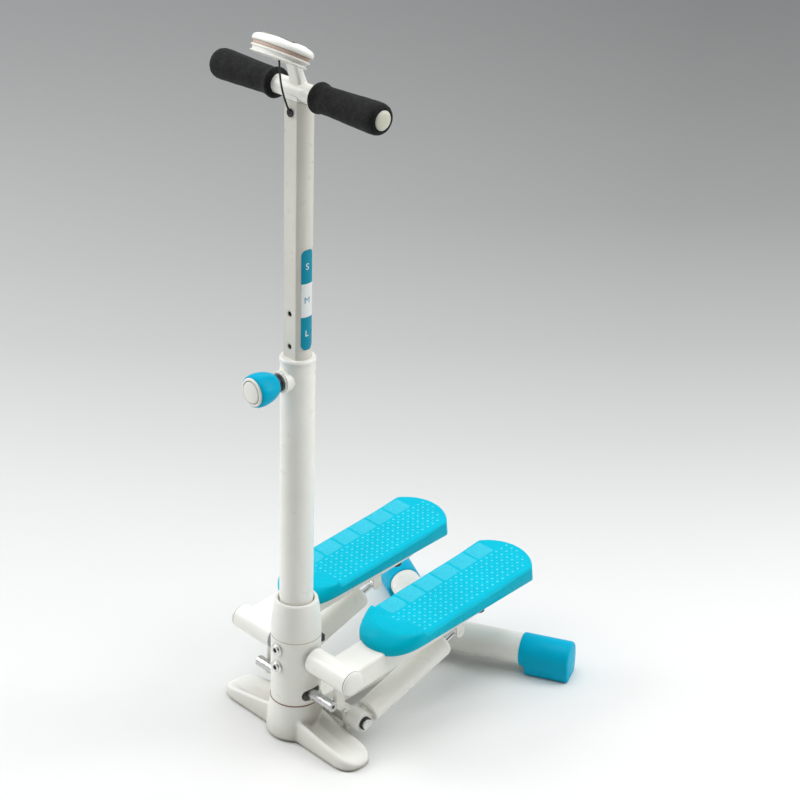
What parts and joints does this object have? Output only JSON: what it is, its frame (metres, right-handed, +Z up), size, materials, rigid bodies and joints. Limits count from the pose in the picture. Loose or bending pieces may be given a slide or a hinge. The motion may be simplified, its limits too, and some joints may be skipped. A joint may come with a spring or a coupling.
{
  "type": "stepper with a handlebar column",
  "caption": "Compact stepper with see-saw pedals, hydraulic cylinders and a height-adjustable column with a handlebar and console.",
  "frame": {"origin": "on the floor, where the leaned column's axis meets it", "axes": "+Z up, +Y towards the user's back (pedals' rear), +X to the user's left when facing the column"},
  "size_m": [0.4982, 0.554, 1.2432],
  "materials": {
    "white_paint": "satin",
    "white_plastic": "satin",
    "cyan_pedal": "gloss",
    "blue_rubber": "satin",
    "blue_plastic": "satin",
    "foam": "matte",
    "black_rubber": "matte",
    "black_plastic": "satin",
    "chrome": "polished",
    "steel": "satin",
    "label_film": "gloss",
    "display_window": "gloss",
    "circuit_board": "satin"
  },
  "bodies": {
    "base": {"base_frame": "white_paint", "rear_stabiliser": "white_paint", "rear_cap_left": "blue_rubber", "rear_cap_right": "blue_rubber", "front_foot_cover": "white_plastic", "front_foot_pads": "black_rubber", "collar_cone": "white_plastic", "lower_tube": "white_paint", "post_bolts": "chrome", "post_washers": "chrome", "pivot_axle": "steel", "rocker_pin": "steel", "cylinder_bolts": "chrome", "guide_sleeve": "white_plastic", "knob_boss": "white_paint", "step_sensor": "black_plastic"},
    "arm_left": {"pedal_arm_left": "white_paint", "hub_bushes_left": "blue_plastic", "hub_cap_left": "white_plastic", "arm_bumper_left": "black_rubber", "pedal_left": "cyan_pedal", "pedal_screws_left": "steel", "cylinder_pin_left": "white_paint"},
    "arm_right": {"pedal_arm_right": "white_paint", "hub_bushes_right": "blue_plastic", "hub_cap_right": "white_plastic", "arm_bumper_right": "black_rubber", "pedal_right": "cyan_pedal", "pedal_screws_right": "steel", "cylinder_pin_right": "white_paint"},
    "rocker": {"rocker_bar": "steel"},
    "barrel_left": {"cylinder_barrel_left": "white_paint", "rod_gland_left": "black_plastic", "eye_bush_left": "black_rubber"},
    "barrel_right": {"cylinder_barrel_right": "white_paint", "rod_gland_right": "black_plastic", "eye_bush_right": "black_rubber"},
    "rod_left": {"cylinder_rod_left": "chrome"},
    "rod_right": {"cylinder_rod_right": "chrome"},
    "upper_column": {"upper_tube": "white_paint", "size_label": "label_film", "handlebar": "white_paint", "grip_left": "foam", "grip_right": "foam", "bar_plugs": "white_plastic", "top_cap": "white_plastic", "console_bracket": "white_plastic", "console_back": "white_plastic", "console_front": "white_plastic", "console_lens": "display_window", "console_board": "circuit_board", "console_cable": "black_rubber", "cable_grommet": "black_rubber"},
    "console_button": {"console_button": "blue_plastic"},
    "knob_collar": {"knob_collar": "black_plastic", "knob_spring": "steel"},
    "knob": {"knob_body": "blue_rubber", "knob_face": "white_plastic", "knob_pin": "chrome"}
  },
  "joints": [
    {"name": "step_left", "type": "hinge", "parent": "base", "child": "arm_left", "pos_m": [0, 0.00612, 0.15928], "axis": [1, 0, 0], "range_deg": [-9, 9]},
    {"name": "step_right", "type": "hinge", "parent": "base", "child": "arm_right", "pos_m": [0, 0.00612, 0.15928], "axis": [1, 0, 0], "range_deg": [-9, 9]},
    {"name": "rocker_swing", "type": "hinge", "parent": "base", "child": "rocker", "pos_m": [0, 0.00339, 0.08833], "axis": [0, 0.0384, 0.9993], "range_deg": [-7.6, 7.6]},
    {"name": "cylinder_left_tilt", "type": "hinge", "parent": "base", "child": "barrel_left", "pos_m": [0.1065, 0.0518, 0.0444], "axis": [1, 0, 0], "range_deg": [-9.5, 9.5]},
    {"name": "cylinder_right_tilt", "type": "hinge", "parent": "base", "child": "barrel_right", "pos_m": [-0.1065, 0.0518, 0.0444], "axis": [1, 0, 0], "range_deg": [-9.5, 9.5]},
    {"name": "rod_left_slide", "type": "slide", "parent": "barrel_left", "child": "rod_left", "axis": [0, 0.9563, 0.2924], "range_m": [-0.0195, 0.0195]},
    {"name": "rod_right_slide", "type": "slide", "parent": "barrel_right", "child": "rod_right", "axis": [0, 0.9563, 0.2924], "range_m": [-0.0195, 0.0195]},
    {"name": "column_height", "type": "slide", "parent": "base", "child": "upper_column", "axis": [0, 0.0384, 0.9993], "range_m": [-0.112, 0]},
    {"name": "knob_turn", "type": "hinge", "parent": "base", "child": "knob_collar", "pos_m": [0, -0.03401, 0.6778], "axis": [0, -0.9993, 0.0384], "continuous": true},
    {"name": "knob_pull", "type": "slide", "parent": "knob_collar", "child": "knob", "axis": [0, -0.9993, 0.0384], "range_m": [-0.0045, 0.0035]},
    {"name": "button_press", "type": "slide", "parent": "upper_column", "child": "console_button", "axis": [0, -0.503, -0.8643], "range_m": [0, 0.001]}
  ],
  "couplings": [
    {"joint": "step_right", "follows": "step_left", "ratio": -1},
    {"joint": "rocker_swing", "follows": "step_left", "ratio": 0.8256},
    {"joint": "cylinder_left_tilt", "follows": "step_left", "ratio": 1.0388},
    {"joint": "cylinder_right_tilt", "follows": "step_left", "ratio": -1.0388},
    {"joint": "rod_left_slide", "follows": "step_left", "m_per_rad": 0.12287},
    {"joint": "rod_right_slide", "follows": "step_left", "m_per_rad": -0.12287}
  ]
}
